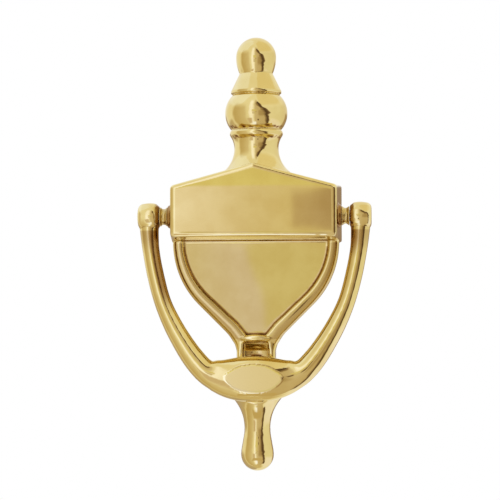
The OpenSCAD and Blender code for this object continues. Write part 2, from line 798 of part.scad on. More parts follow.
module thrust_washer() {
    bore = pin_d / 2 + seat_gap;
    color([0.55, 0.55, 0.57])
    on_pivot(hollow_w / 2 - end_gap - washer_t)
        translate([bore, 0])
            square([washer_d / 2 - bore, washer_t]);
}

module right_thrust_washer() {
    thrust_washer();
}

module left_thrust_washer() {
    on_left()
        thrust_washer();
}

module grub_screw() {
    color([0.35, 0.35, 0.37])
    translate([ear_x + pin_reach / 2, pin_d / 2 - pivot_d, pivot_z])
        rotate([-90, 0, 0])
            difference() {
                cylinder(d = grub_d, h = grub_len);
                translate([0, 0, grub_len - grub_socket_depth])
                    cylinder(d = grub_socket / cos(30), h = grub_len, $fn = 6);
            }
}

module right_grub_screw() {
    grub_screw();
}

module left_grub_screw() {
    on_left()
        grub_screw();
}

urn_plate();
strike_pad();
left_collar();
right_collar();
knocker_bail();
hammer_button();
left_pivot_pin();
right_pivot_pin();
left_thrust_washer();
right_thrust_washer();
left_grub_screw();
right_grub_screw();
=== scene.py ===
import math

import bmesh
import bpy
import numpy as np
from mathutils import Matrix, Vector
from mathutils.bvhtree import BVHTree


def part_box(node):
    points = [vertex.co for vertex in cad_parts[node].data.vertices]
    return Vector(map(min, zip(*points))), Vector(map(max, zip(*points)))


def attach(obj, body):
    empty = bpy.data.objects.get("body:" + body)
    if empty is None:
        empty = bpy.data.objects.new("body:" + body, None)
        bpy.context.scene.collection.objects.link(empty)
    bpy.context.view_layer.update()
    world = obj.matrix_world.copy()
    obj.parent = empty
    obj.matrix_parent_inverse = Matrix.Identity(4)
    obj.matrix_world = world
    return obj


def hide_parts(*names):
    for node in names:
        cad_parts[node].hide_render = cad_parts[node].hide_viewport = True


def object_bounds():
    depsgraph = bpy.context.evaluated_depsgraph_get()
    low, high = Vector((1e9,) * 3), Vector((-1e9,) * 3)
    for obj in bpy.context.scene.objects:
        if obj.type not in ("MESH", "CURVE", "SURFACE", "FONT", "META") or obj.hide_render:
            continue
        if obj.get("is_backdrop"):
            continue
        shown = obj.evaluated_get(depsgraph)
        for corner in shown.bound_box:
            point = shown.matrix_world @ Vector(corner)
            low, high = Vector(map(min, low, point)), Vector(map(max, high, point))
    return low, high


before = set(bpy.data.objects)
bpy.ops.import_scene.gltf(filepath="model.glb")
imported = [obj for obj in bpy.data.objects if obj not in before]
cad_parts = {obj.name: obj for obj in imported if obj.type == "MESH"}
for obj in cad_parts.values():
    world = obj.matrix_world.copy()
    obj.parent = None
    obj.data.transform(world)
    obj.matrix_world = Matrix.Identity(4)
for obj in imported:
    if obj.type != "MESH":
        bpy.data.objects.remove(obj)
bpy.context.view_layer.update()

# The urn plate: ball finial, gabled lintel, bowl, neck and drop in one hollow-backed brass casting.
# It is poured in sand, fettled, and polished on the front by hand and wheel; the hollows behind keep
# the dull, grainy skin of the sand, and the creases are painted darker as shade.
MM = 0.001
# Sizes are in millimetres, and heights are counted from midway between the two fixing holes.
PLATE_VOXEL = 0.42
PLATE_SOFTENING = 3
PLATE_FACES = 0.555
LINTEL_Z, EAVE_Z, PEAK_Z = 23.0, 49.9, 59.3
LINTEL_HALF_W, LINTEL_DEPTH = 36.6, 24.0
LINTEL_CROWN, GABLE_LEAN, GABLE_LINE_Z, GABLE_BLEND = 0.35, 0.045, 46.2, 3.2
BOWL_HALF_W, BOWL_R, BOWL_STEPS = 37.3, 39.6, 12
BOWL_WALL, BOWL_HOLLOW_DEPTH, BOWL_HOLLOW_FOOT = 5.6, 5.2, 7.6
FOOT_HALF_W, FOOT_Z, NECK_HALF_W, NECK_Z = 12.3, -18.4, 8.7, -24.0
BOSS_Z, BOSS_DEPTH, BOSS_SIDE, DROP_TOP_Z = -38.0, 9.5, 9.2, -46.0
HOLLOW_HALF_W, HOLLOW_DEPTH, HOLLOW_WALL, HOLLOW_MARGIN = 33.4, 20.8, 4.8, 0.3
FINIAL_CORE_R, BULB_CORE_R, CORE_FOOT = 5.4, 9.3, 6.0
SLOT_HALF_W, SLOT_TOP, SLOT_END, SLOT_RISE = 5.9, -22.0, -36.0, -25.5
SLOT_FRONT, SLOT_FLOOR, SLOT_DISH = 8.8, 5.9, 1.3
BEAD_Z, BEAD_HALF_L, BEAD_HALF_H, BEAD_FRONT, BEAD_STAND = -20.0, 7.4, 1.5, 9.65, 0.95
PIVOT = (0.0, -15.0, 34.2)


class Wire:
    """An output socket of a node tree. Sums on it add Math nodes, and add() makes any other node."""

    def __init__(self, tree, socket=None):
        self.tree = tree
        self.socket = socket

    def add(self, kind, settings=None, sockets=None, out=0):
        made = self.tree.nodes.new(kind)
        for name, value in (settings or {}).items():
            setattr(made, name, value)
        for key, value in (sockets or {}).items():
            if isinstance(value, Wire):
                self.tree.links.new(value.socket, made.inputs[key])
            else:
                made.inputs[key].default_value = value
        return Wire(self.tree, made.outputs[out] if len(made.outputs) else None)

    def output(self, key):
        """Another output of the same node."""
        return Wire(self.tree, self.socket.node.outputs[key])

    def maths(self, operation, a, b=0.0, c=0.0):
        return self.add("ShaderNodeMath", {"operation": operation}, {0: a, 1: b, 2: c})

    def vectors(self, operation, a, b=(0.0, 0.0, 0.0), out=0):
        return self.add("ShaderNodeVectorMath", {"operation": operation}, {0: a, 1: b}, out)

    def mixed(self, share, a, b):
        """Colour a where share is 0, colour b where it is 1."""
        return self.add("ShaderNodeMix", {"data_type": "RGBA"}, {0: share, 6: a, 7: b}, out=2)

    def spread(self, low, high, to_low=0.0, to_high=1.0):
        """This value carried from one range to another, levelled off smoothly at both ends."""
        return self.add("ShaderNodeMapRange", {"interpolation_type": "SMOOTHSTEP"},
                        {0: self, 1: low, 2: high, 3: to_low, 4: to_high})

    def noise(self, scale, detail=2.0, roughness=0.5):
        """Cloudy noise from 0 to 1 over this vector."""
        return self.add("ShaderNodeTexNoise", {},
                        {"Vector": self, "Scale": scale, "Detail": detail, "Roughness": roughness})

    def __add__(self, other):
        return self.maths("ADD", self, other)

    def __sub__(self, other):
        return self.maths("SUBTRACT", self, other)

    def __rsub__(self, other):
        return self.maths("SUBTRACT", other, self)

    def __mul__(self, other):
        return self.maths("MULTIPLY", self, other)

    def __truediv__(self, other):
        return self.maths("DIVIDE", self, other)

    __radd__ = __add__
    __rmul__ = __mul__


def new_material(name):
    """An empty material and the wire that adds its nodes."""
    material = bpy.data.materials.new(name)
    material.use_nodes = True
    material.node_tree.nodes.clear()
    return material, Wire(material.node_tree)


def polished_brass(name):
    """Cast brass under the polishing wheel, with sand skin where the mesh's "sand" attribute says so."""
    material, wire = new_material(name)
    place = wire.add("ShaderNodeTexCoord", out="Object")
    relief = wire.add("ShaderNodeAttribute", {"attribute_name": "relief"}, out="Fac")
    sand = wire.add("ShaderNodeAttribute", {"attribute_name": "sand"}, out="Fac")
    clouds = place.noise(90.0, 3.0, 0.55)
    specks = place.noise(2600.0, 2.0)
    wipes = wire.vectors("MULTIPLY", place, (260.0, 260.0, 5200.0)).noise(1.0, 3.0, 0.6)
    # Painted shade: the brass darkens where the "relief" attribute is high, in creases and at the places
    # marked with painted shade.
    crease = relief.spread(0.2, 0.85) * (0.65 + 0.5 * clouds)
    metal = wire.mixed(clouds.spread(0.3, 0.7), (0.74, 0.585, 0.225, 1), (0.79, 0.645, 0.27, 1))
    # Painted highlight: sharp edges, where "relief" is below zero, are lightened; the highest "relief"
    # darkens to near black as deeper painted shade.
    with_edge_highlight = wire.mixed(relief.spread(-0.2, -0.9), metal, (0.86, 0.74, 0.38, 1))
    with_painted_shade = wire.mixed(crease, with_edge_highlight, (0.29, 0.12, 0.02, 1))
    with_deep_shade = wire.mixed(relief.spread(0.72, 1.0, 0.0, 0.8), with_painted_shade, (0.12, 0.05, 0.012, 1))
    skin = wire.mixed(specks.spread(0.3, 0.7), (0.24, 0.165, 0.075, 1), (0.42, 0.31, 0.15, 1))
    colour = wire.mixed(sand, with_deep_shade, skin)
    shine = 0.03 + 0.025 * clouds + 0.012 * wipes + 0.14 * crease
    roughness = shine + sand * (0.62 - shine)
    fine = wire.add("ShaderNodeBump", {}, {"Strength": 1.0, "Distance": 0.00000006, "Height": wipes})
    grain = wire.add("ShaderNodeBump", {},
                     {"Strength": 1.0, "Distance": 0.00011, "Height": sand * specks, "Normal": fine})
    surface = wire.add("ShaderNodeBsdfPrincipled", {}, {
        "Base Color": colour, "Metallic": 1.0 - 0.35 * sand, "Roughness": roughness, "Normal": grain})
    wire.add("ShaderNodeOutputMaterial", {}, {"Surface": surface})
    return material


def mesh_object(name, points, faces, edges=()):
    mesh = bpy.data.meshes.new(name)
    mesh.from_pydata([tuple(float(v) for v in p) for p in points], edges, faces)
    made = bpy.data.objects.new(name, mesh)
    bpy.context.scene.collection.objects.link(made)
    return made


def settle(made):
    """Gives an object the mesh that its modifiers make, and takes them off."""
    bpy.context.view_layer.update()
    shown = made.evaluated_get(bpy.context.evaluated_depsgraph_get())
    mesh = bpy.data.meshes.new_from_object(shown, preserve_all_data_layers=True,
                                           depsgraph=bpy.context.evaluated_depsgraph_get())
    made.modifiers.clear()
    made.data = mesh
    return made


def new_tree(name, inputs):
    """A Geometry Nodes tree with named inputs: the tree, its inputs as wires and its wire."""
    tree = bpy.data.node_groups.new(name, "GeometryNodeTree")
    for label, kind in inputs:
        tree.interface.new_socket(label, in_out="INPUT", socket_type=kind)
    tree.interface.new_socket("Form", in_out="OUTPUT", socket_type="NodeSocketGeometry")
    entry = tree.nodes.new("NodeGroupInput")
    return tree, {label: Wire(tree, entry.outputs[label]) for label, _ in inputs}, Wire(tree)


def run_tree(made, tree, values):
    """Runs a tree on an object, its inputs set by identifier, and keeps the mesh that comes out."""
    modifier = made.modifiers.new("form", "NODES")
    modifier.node_group = tree
    for item in tree.interface.items_tree:
        if item.in_out == "INPUT" and item.name in values:
            modifier[item.identifier] = values[item.name]
    return settle(made)


def ring_sheet(wire, line, sides):
    """A grid with a row for each point of a line and a column for each side of the rings about it.
    Gives the grid, the angle of each of its points round the ring, and its row."""
    count = wire.add("GeometryNodeAttributeDomainSize", {"component": "MESH"}, {"Geometry": line})
    sheet = wire.add("GeometryNodeMeshGrid", {}, {"Vertices X": sides + 1, "Vertices Y": count})
    index = wire.add("GeometryNodeInputIndex")
    column = wire.maths("FLOOR", index / count)
    return sheet, column / sides * math.tau, index - column * count


def close_form(wire, sheet, places, metal):
    """Puts a grid's points in their places, closes the seam and ends the tree in the metal."""
    form = wire.add("GeometryNodeSetPosition", {}, {"Geometry": sheet, "Position": places})
    closed = wire.add("GeometryNodeMergeByDistance", {}, {"Geometry": form, "Distance": 0.002 * MM})
    whole = wire.add("GeometryNodeRealizeInstances", {}, {0: closed})
    done = wire.add("GeometryNodeSetMaterial", {}, {"Geometry": whole, "Material": metal})
    wire.add("NodeGroupOutput", {}, {0: done})


def turning_tree():
    """Turns a half section, drawn as a line of points in X and Z, about the Z axis."""
    tree, given, wire = new_tree("turned form", [
        ("Section", "NodeSocketGeometry"), ("Segments", "NodeSocketInt"), ("Metal", "NodeSocketMaterial")])
    sheet, angle, row = ring_sheet(wire, given["Section"], given["Segments"])
    spot = wire.add("GeometryNodeSampleIndex", {"data_type": "FLOAT_VECTOR", "domain": "POINT"}, {
        "Geometry": given["Section"], "Value": wire.add("GeometryNodeInputPosition"), "Index": row})
    radius = wire.add("ShaderNodeSeparateXYZ", {}, {0: spot})
    height = radius.output("Z")
    ring = wire.add("ShaderNodeCombineXYZ", {}, {
        0: radius * wire.maths("COSINE", angle), 1: radius * wire.maths("SINE", angle), 2: height})
    close_form(wire, sheet, ring, given["Metal"])
    return tree


def turned(name, section, metal, segments=240):
    """A turned solid from its half section in millimetres, outwards facing."""
    points = [(r * MM, 0.0, z * MM) for r, z in section]
    made = mesh_object(name, points, [], [(i, i + 1) for i in range(len(points) - 1)])
    run_tree(made, turning, {"Segments": segments, "Metal": metal})
    shell = bmesh.new()
    shell.from_mesh(made.data)
    bmesh.ops.recalc_face_normals(shell, faces=shell.faces)
    shell.to_mesh(made.data)
    shell.free()
    return made


def arc(centre, radius, start, end, steps):
    """Points of an arc, with its angles in degrees."""
    turns = np.radians(np.linspace(start, end, steps + 1))
    return [(centre[0] + radius * math.cos(t), centre[1] + radius * math.sin(t)) for t in turns]


def bearing(a, b):
    return math.degrees(math.atan2(b[1] - a[1], b[0] - a[0]))


def crossing(c, r, d, s):
    """The first of the two points where a circle round c meets one round d."""
    reach = math.dist(c, d)
    u = ((d[0] - c[0]) / reach, (d[1] - c[1]) / reach)
    along = (reach * reach + r * r - s * s) / (2 * reach)
    aside = math.sqrt(r * r - along * along)
    return (c[0] + along * u[0] + aside * u[1], c[1] + along * u[1] - aside * u[0])


def skinned(name, source, voxel):
    """A copy of a solid as one even skin of small faces."""
    made = bpy.data.objects.new(name, source.data.copy())
    bpy.context.scene.collection.objects.link(made)
    shell = bmesh.new()
    shell.from_mesh(made.data)
    bmesh.ops.remove_doubles(shell, verts=shell.verts, dist=1e-7)
    shell.to_mesh(made.data)
    shell.free()
    remesh = made.modifiers.new("skin", "REMESH")
    remesh.mode = "VOXEL"
    remesh.voxel_size = voxel * MM
    return settle(made)


def points_of(made):
    """A mesh's points in millimetres."""
    flat = np.empty(len(made.data.vertices) * 3, np.float32)
    made.data.vertices.foreach_get("co", flat)
    return flat.reshape(-1, 3).astype(float) / MM


def move_points(made, points):
    made.data.vertices.foreach_set("co", (points * MM).astype(np.float32).ravel())
    made.data.update()


def normals_of(made):
    flat = np.empty(len(made.data.vertices) * 3, np.float32)
    made.data.vertex_normals.foreach_get("vector", flat)
    return flat.reshape(-1, 3).astype(float)


def softened(made, points, rounds, share=0.5):
    """Points drawn towards their neighbours, as a polishing mop rounds an edge."""
    pairs = np.empty(len(made.data.edges) * 2, np.int32)
    made.data.edges.foreach_get("vertices", pairs)
    a, b = pairs.reshape(-1, 2).T
    degree = np.bincount(pairs, minlength=len(points))
    count = len(points)
    for _ in range(rounds):
        total = np.stack([np.bincount(a, points[b, k], count) + np.bincount(b, points[a, k], count)
                          for k in range(3)], axis=1)
        points = points + share * (total / degree[:, None] - points)
    return points


def feathered(made, chosen, rounds):
    """Chosen points as shares from 0 to 1 that fade across the border."""
    return softened(made, np.repeat(chosen[:, None], 3, 1).astype(float), rounds)[:, 0]


def smooth_step(values, low, high):
    t = np.clip((values - low) / (high - low), 0.0, 1.0)
    return t * t * (3 - 2 * t)


def drawn_onto(points, chosen, guide, near, far):
    """Moves the chosen points onto a guide's surface where they already lie close to it."""
    tree = BVHTree.FromPolygons([v.co / MM for v in guide.data.vertices],
                                [p.vertices[:] for p in guide.data.polygons])
    for i in np.flatnonzero(chosen):
        spot, _, _, gap = tree.find_nearest(Vector(points[i]))
        if gap < far:
            hold = 1.0 - float(smooth_step(np.float64(gap), near, far))
            points[i] += hold * (np.array(spot) - points[i])
    return points


def distance_to(spots, line):
    """How far each spot in a plane lies from a line of points."""
    gaps = np.full(len(spots), np.inf)
    for a, b in zip(line, line[1:]):
        share = np.clip((spots - a) @ (b - a) / ((b - a) @ (b - a)), 0, 1)
        gaps = np.minimum(gaps, np.linalg.norm(spots - a - share[:, None] * (b - a), axis=1))
    return gaps


def ripple(points, lengths, seed):
    """Gentle unevenness of about one unit either way, as a sum of waves of these lengths."""
    waves = 5
    draw = np.random.default_rng(seed)
    total = np.zeros(len(points))
    for length in lengths:
        for _ in range(waves):
            way = draw.normal(size=3)
            way *= math.tau / length / np.linalg.norm(way)
            total += np.sin(points @ way + draw.uniform(0, math.tau))
    return total / math.sqrt(waves * len(lengths) / 2)


def mark(made, name, values):
    made.data.attributes.new(name, "FLOAT", "POINT").data.foreach_set("value", values.astype(np.float32))


def relief_of(made, points, rounds, full):
    """How hollow the surface is at each point: 1 in a crease, -1 on a sharp edge."""
    inwards = softened(made, points, rounds) - points
    return np.clip((inwards * normals_of(made)).sum(axis=1) / full, -1.0, 1.0)


def finish_skin(made, metal):
    """Gives a finished skin its one material and smooth shading."""
    made.data.materials.clear()
    made.data.materials.append(metal)
    made.data.shade_smooth()


plate_brass = polished_brass("plate_brass")
turning = turning_tree()

# The turned forms of the finial and the drop, which the skin is drawn onto: each a line of arcs that meet.
ON_AXIS = 0.001
STEM_WAIST_R, FLARE_R, SKIRT_BAND = 10.1, 15.4, 1.2
stem_r = 13.7
stem_c = (STEM_WAIST_R + stem_r, PEAK_Z + 6.4)
ring_c, ring_r = (10.0, PEAK_Z + 12.9), 2.1
bulb_c, bulb_r = (2.7, PEAK_Z + 22.2), 11.5
skirt, cone_top = (11.5, PEAK_Z + 31.0), (7.6, PEAK_Z + 40.2)
ball_c, ball_r = (0.0, PEAK_Z + 47.6), 9.15
lip_out = ring_c[0] + ring_r - STEM_WAIST_R
lip_r = (lip_out ** 2 + (ring_c[1] - stem_c[1]) ** 2) / (2 * lip_out) - ring_r
lip_c = (STEM_WAIST_R + lip_r, stem_c[1])
over_ring = crossing(ring_c, ring_r, bulb_c, bulb_r)
side_r = ((ball_c[1] - cone_top[1]) ** 2 + (ball_r - cone_top[0]) ** 2) / (2 * (ball_r - cone_top[0]))
side_c = (ball_r - side_r, ball_c[1])
finial_guide = turned("finial_guide", [
    (ON_AXIS, EAVE_Z), (FLARE_R, EAVE_Z),
    *arc(stem_c, stem_r, 180 + math.degrees(math.acos((stem_c[0] - FLARE_R) / stem_r)), 180, 30),
    *arc(lip_c, lip_r, 180, bearing(lip_c, ring_c), 20),
    *arc(ring_c, ring_r, bearing(ring_c, lip_c), bearing(ring_c, over_ring), 30),
    *arc(bulb_c, bulb_r, bearing(bulb_c, over_ring),
         math.degrees(math.asin((skirt[1] - bulb_c[1]) / bulb_r)), 50),
    skirt, (skirt[0], skirt[1] + SKIRT_BAND),
    *arc(side_c, side_r, bearing(side_c, cone_top), 0, 12),
    *arc(ball_c, ball_r, 0, 89.9, 60)], plate_brass)

DROP_WAIST_R, DROP_FLARE_R = 5.85, 12.5
drop_c, drop_r, drop_side_r = (0.0, -72.6), 7.4, 14.6
drop_side_c = (drop_r - drop_side_r, drop_c[1])
drop_stem_r = 20.0
drop_stem_c = (DROP_WAIST_R + drop_stem_r, -60.8)
flare_run = drop_stem_c[0] - DROP_FLARE_R
flare = (DROP_FLARE_R, drop_stem_c[1] + math.sqrt(drop_stem_r ** 2 - flare_run ** 2))
join = bearing(drop_side_c, drop_stem_c) - math.degrees(
    math.acos(min(1.0, (drop_side_r + drop_stem_r) / math.dist(drop_side_c, drop_stem_c))))
drop_guide = turned("drop_guide", [
    *arc(drop_c, drop_r, -89.9, 0, 50),
    *arc(drop_side_c, drop_side_r, 0, join, 16),
    *arc(drop_stem_c, drop_stem_r, 180 + join, bearing(drop_stem_c, flare) % 360, 40)], plate_brass)

plate = skinned("urn_casting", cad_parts["urn_plate"], PLATE_VOXEL)
skin = softened(plate, points_of(plate), PLATE_SOFTENING)
BACK_EDGE, DRAWN_NEAR, DRAWN_FAR = 0.4, 0.12, 0.24
outside = skin[:, 1] < -BACK_EDGE
finial = outside & (skin[:, 2] > EAVE_Z + 1)
skin = drawn_onto(skin, finial, finial_guide, DRAWN_NEAR, DRAWN_FAR)
drop = outside & (skin[:, 2] < DROP_TOP_Z) & (skin[:, 1] > -BOSS_SIDE)
skin = drawn_onto(skin, drop, drop_guide, DRAWN_NEAR, DRAWN_FAR)
for guide in (finial_guide, drop_guide):
    bpy.data.objects.remove(guide)

# The bowl's sides are true arcs: the points between the corners of the pattern's outline move out to them.
bowl_c = np.array([BOWL_HALF_W - BOWL_R, LINTEL_Z])
foot = np.array([FOOT_HALF_W, FOOT_Z]) - bowl_c
end_turn = math.atan2(foot[1], foot[0]) + math.acos(BOWL_R / np.linalg.norm(foot))
step = -end_turn / BOWL_STEPS
reach = np.stack([np.abs(skin[:, 0]), skin[:, 2]], axis=1) - bowl_c
turn = -np.arctan2(reach[:, 1], reach[:, 0])
within = (turn > 0) & (turn < -end_turn)
short = 1.0 / (math.cos(step / 2) / np.cos(np.mod(turn, step) - step / 2)) - 1.0
short *= within * smooth_step(np.abs(skin[:, 0]), 6.0, 12.0)
skin[:, 0] += np.sign(skin[:, 0]) * reach[:, 0] * short
skin[:, 2] += reach[:, 1] * short

# The lintel's face is a little full across, and its gable leans back where the wheel ran off the top.
across = np.clip(skin[:, 0] / LINTEL_HALF_W, -1, 1)
face = smooth_step(-skin[:, 1], LINTEL_DEPTH - 1.2, LINTEL_DEPTH - 0.1) * (skin[:, 2] > LINTEL_Z)
face *= 1.0 - smooth_step(skin[:, 2], PEAK_Z + 1.0, PEAK_Z + 3.0)
above = np.maximum(skin[:, 2] - GABLE_LINE_Z, 0.0)
above = np.where(above < GABLE_BLEND, above ** 2 / (2 * GABLE_BLEND), above - GABLE_BLEND / 2)
skin[:, 1] += face * (LINTEL_CROWN * across ** 2 + GABLE_LEAN * above)

# The slot's floor is dished, like the cut of a round gouge.
slot_floor = ((np.abs(skin[:, 0]) < SLOT_HALF_W) & (skin[:, 2] < SLOT_TOP) & (skin[:, 2] > SLOT_END)
              & (np.abs(skin[:, 1] + SLOT_FLOOR) < 0.4))
dish = (skin[:, 0] / SLOT_HALF_W) ** 2 + smooth_step(skin[:, 2], SLOT_RISE, SLOT_TOP)
skin[:, 1] -= slot_floor * SLOT_DISH * dish

# The bead across the foot of the panel is a lens that lies over the ends of the rim.
along = 1.0 - np.clip(skin[:, 0] / BEAD_HALF_L, -1, 1) ** 2
lens = np.clip(1.0 - ((skin[:, 2] - BEAD_Z) / np.maximum(BEAD_HALF_H * along, 0.01)) ** 2, 0, 1)
proud = -BEAD_FRONT - BEAD_STAND * along * np.sqrt(lens)
on_bead = (lens > 0) & (skin[:, 1] < 3.0 - BEAD_FRONT)
skin[:, 1] = np.where(on_bead, np.minimum(skin[:, 1], proud), skin[:, 1])
move_points(plate, skin)

# The hollows behind the lintel and the bowl and the cores of the finial keep the sand's skin.
sides = np.linspace(0, end_turn, 25)
outline = np.array([bowl_c + BOWL_R * np.array([math.cos(t), math.sin(t)]) for t in sides]
                   + [(FOOT_HALF_W, FOOT_Z), (NECK_HALF_W, NECK_Z), (NECK_HALF_W, BOSS_Z)])
inset = distance_to(np.stack([np.abs(skin[:, 0]), skin[:, 2]], axis=1), outline)
roof = PEAK_Z - HOLLOW_WALL - np.abs(skin[:, 0]) * (PEAK_Z - EAVE_Z) / HOLLOW_HALF_W
hollow = ((skin[:, 2] < roof) & (skin[:, 2] > LINTEL_Z + HOLLOW_WALL)
          & (np.abs(skin[:, 0]) < HOLLOW_HALF_W + HOLLOW_MARGIN)
          & (skin[:, 1] > -HOLLOW_DEPTH - HOLLOW_MARGIN))
hollow |= ((inset > BOWL_WALL - HOLLOW_MARGIN) & (np.abs(skin[:, 0]) < BOWL_HALF_W)
           & (skin[:, 2] > FOOT_Z + BOWL_HOLLOW_FOOT) & (skin[:, 2] < LINTEL_Z)
           & (skin[:, 1] > -BOWL_HOLLOW_DEPTH - HOLLOW_MARGIN))
hollow |= ((skin[:, 2] >= PEAK_Z - CORE_FOOT) & (skin[:, 2] < ball_c[1])
           & (np.hypot(skin[:, 0], skin[:, 1]) < FINIAL_CORE_R))
for height, radius in ((bulb_c[1], BULB_CORE_R), (ball_c[1], FINIAL_CORE_R)):
    hollow |= np.linalg.norm(skin - np.array([0, 0, height]), axis=1) < radius
facing = normals_of(plate)
rear = hollow | (facing[:, 1] > 0.9)

# The wheel leaves long, faint waves on flat faces and shorter ones on round forms; sand leaves its grain.
FLAT_WAVE, ROUND_WAVE, SAND_GRAIN = 0.005, 0.006, 0.05
flat = facing[:, 1] < -0.985
wheel = np.where(flat, FLAT_WAVE * ripple(skin, (16.0, 26.0), 11),
                 ROUND_WAVE * ripple(skin, (2.2, 3.4, 9.0), 13)) * ~rear
grainy = SAND_GRAIN * ripple(skin, (1.1, 1.7), 12) * hollow
skin = skin + facing * (wheel + grainy)[:, None]
skin[:, 1] = np.minimum(skin[:, 1], 0.0)
move_points(plate, skin)

# Painted shade darkens the slot, the collars' seats, the side walls, the rim and the grooves by the ring.
SEAT_X, WALL_DEPTH = 35.0, 8.0
slot = ((np.abs(skin[:, 0]) < SLOT_HALF_W) & (skin[:, 2] < SLOT_TOP) & (skin[:, 2] > BOSS_Z)
        & (skin[:, 1] > -SLOT_FRONT))
slot = 0.45 * feathered(plate, slot & ~rear, 3)
seat = 1 - smooth_step(np.hypot(skin[:, 1] - PIVOT[1], skin[:, 2] - PIVOT[2]), 4.6, 7.5)
seat *= np.abs(skin[:, 0]) > SEAT_X
walls = (np.abs(facing[:, 1]) < 0.3) & (np.abs(facing[:, 0]) > 0.3) & ~rear & (skin[:, 2] < EAVE_Z)
walls &= (skin[:, 1] > -WALL_DEPTH) | (np.abs(skin[:, 0]) > LINTEL_HALF_W + 0.2)
walls = 0.55 * feathered(plate, walls, 4)
# Painted shade in the creases as well, weaker on the finial and where the lintel meets the bowl.
creases = relief_of(plate, skin, 7, 0.12) * (1.0 - 0.5 * smooth_step(skin[:, 2], PEAK_Z, PEAK_Z + 4))
creases *= 1.0 - 0.45 * (np.abs(skin[:, 2] - LINTEL_Z) < 2.0) * (skin[:, 1] > -LINTEL_DEPTH + 4.0)
rim = (skin[:, 2] < LINTEL_Z - 0.3) & (skin[:, 2] > FOOT_Z - 2.0) & (inset < BOWL_WALL + 0.4) & ~rear
rim = rim * (0.46 - 0.3 * (skin[:, 0] > 0) * smooth_step(inset, 3.0, BOWL_WALL))
groove = np.zeros(len(skin))
for height in (ring_c[1] + 2.7, ring_c[1] - 1.9):
    groove = np.maximum(groove, 1.0 - smooth_step(np.abs(skin[:, 2] - height), 0.5, 1.1))
groove *= (0.45 + 0.25 * ripple(skin, (1.6, 2.7), 14)) * outside
# All of it is painted shade, gathered into one share and carried by the "relief" attribute.
painted_shade = np.maximum.reduce([slot, 0.8 * seat, walls, rim, groove])
mark(plate, "relief", np.where(painted_shade > 0.02, np.maximum(creases, painted_shade), creases))
mark(plate, "sand", smooth_step(feathered(plate, hollow, 4), 0.3, 0.7))

# Even faces and hollows take larger triangles, but not the hollows' borders, the seats and the lintel's face.
cored = feathered(plate, hollow, 8)
even = np.linalg.norm(softened(plate, facing, 6), axis=1) > 0.9997
even = (even | (cored > 0.5)) & (np.abs(cored - 0.5) > 0.495) & (seat == 0)
even &= (facing[:, 1] > -0.9) | (skin[:, 2] < LINTEL_Z)
group = plate.vertex_groups.new(name="even")
group.add([int(i) for i in np.flatnonzero(even)], 1.0, "REPLACE")
thin = plate.modifiers.new("thin", "DECIMATE")
thin.ratio = PLATE_FACES
thin.vertex_group = "even"
thin.use_collapse_triangulate = True
settle(plate)
plate.vertex_groups.clear()
finish_skin(plate, plate_brass)
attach(plate, "plate")
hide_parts("urn_plate")


# The strike pad and the hammer button: two turned brass studs that meet when the knocker falls.
# The pad's spigot is pressed into the boss and the button's shank into the back of the hammer; both
# keep the fine rings of the lathe, and their domes are bruised a little from knocking.
def turned_brass(name, centre, axis):
    """Brass off the lathe: rings about an axis through a point, given in millimetres."""
    material, wire = new_material(name)
    place = wire.add("ShaderNodeTexCoord", out="Object")
    own = wire.vectors("SUBTRACT", place, tuple(c * MM for c in centre))
    across = wire.vectors("MULTIPLY", own, tuple(0.0 if k == axis else 1.0 for k in range(3)))
    radius = wire.vectors("LENGTH", across, out="Value")
    along = wire.add("ShaderNodeSeparateXYZ", {}, {0: own}).output(axis)
    feed = 0.22 * MM
    rings = wire.maths("SINE", (radius + along) * (math.tau / feed))
    clouds = place.noise(260.0, 3.0, 0.55)
    # Both tones are darker than the cast brass's: painted shade for the collars, which sit between the lintel
    # and the ears; the pad and the button share them.
    colour = wire.mixed(clouds.spread(0.3, 0.7), (0.56, 0.41, 0.14, 1), (0.66, 0.50, 0.18, 1))
    dulled = wire.mixed(place.noise(500.0, 2.0).spread(0.5, 0.75, 0.0, 0.4), colour, (0.24, 0.145, 0.05, 1))
    groove = wire.add("ShaderNodeBump", {}, {"Strength": 1.0, "Distance": 0.0000002, "Height": rings})
    surface = wire.add("ShaderNodeBsdfPrincipled", {}, {
        "Base Color": dulled, "Metallic": 1.0, "Roughness": 0.12 + 0.12 * clouds, "Normal": groove})
    wire.add("ShaderNodeOutputMaterial", {}, {"Surface": surface})
    return material


def dress(node, material):
    """Gives a solid that stays as it is its finish."""
    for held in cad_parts[node].material_slots:
        held.material = material


BOSS_FRONT = (0.0, -BOSS_DEPTH, BOSS_Z)
dress("strike_pad", turned_brass("pad_brass", BOSS_FRONT, 1))
dress("hammer_button", turned_brass("button_brass", BOSS_FRONT, 1))

